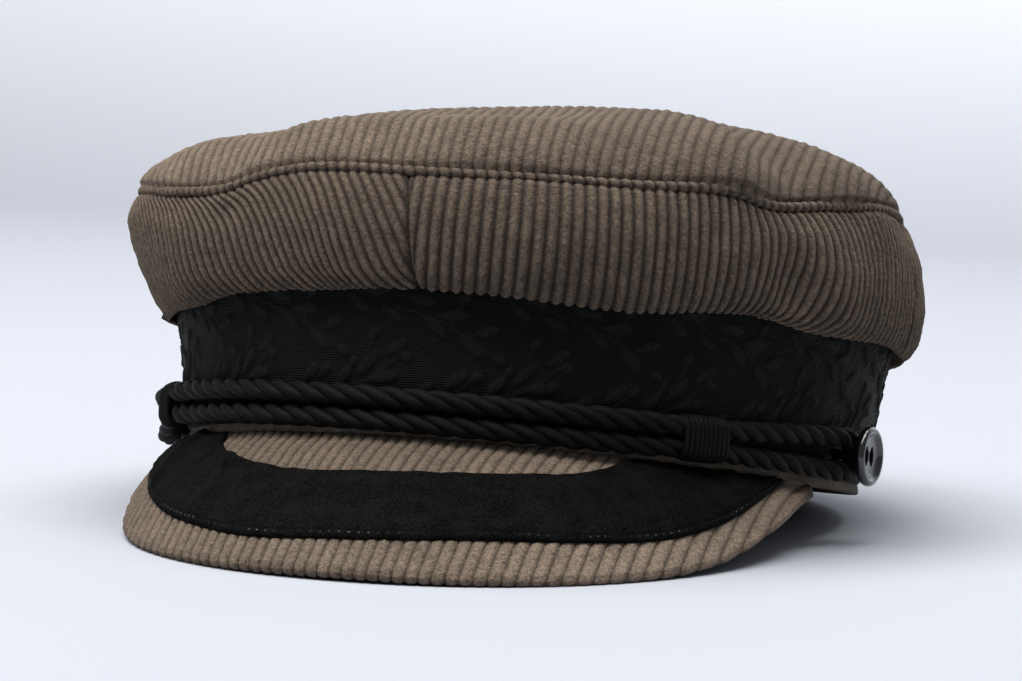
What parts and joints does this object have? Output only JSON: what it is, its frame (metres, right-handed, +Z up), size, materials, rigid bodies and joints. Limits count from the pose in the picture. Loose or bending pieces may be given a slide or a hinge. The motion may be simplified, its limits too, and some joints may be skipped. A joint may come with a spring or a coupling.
{
  "type": "captain hat",
  "caption": "Soft corduroy captain hat with a domed crown, ribbon band, braided peak, twisted front cords and side buttons.",
  "frame": {"origin": "on the surface that the hat rests on, under the middle of its bounding box", "axes": "+Z up from that surface, -Y towards the peak, +X towards the wearer's left"},
  "size_m": [0.2062, 0.278, 0.1066],
  "materials": {
    "corduroy": "matte",
    "black_ribbon": "satin",
    "black_braid": "matte",
    "black_cord": "satin",
    "black_plastic": "gloss"
  },
  "bodies": {
    "root": {"crown_top": "corduroy", "crown_front_left": "corduroy", "crown_front_right": "corduroy", "crown_back_left": "corduroy", "crown_back_right": "corduroy", "head_band": "corduroy", "band_ribbon": "black_ribbon", "peak": "corduroy", "peak_braid": "black_braid", "cord_upper": "black_cord", "cord_lower": "black_cord", "whipping_left": "black_cord", "whipping_right": "black_cord", "button_left": "black_plastic", "button_right": "black_plastic"}
  },
  "joints": []
}
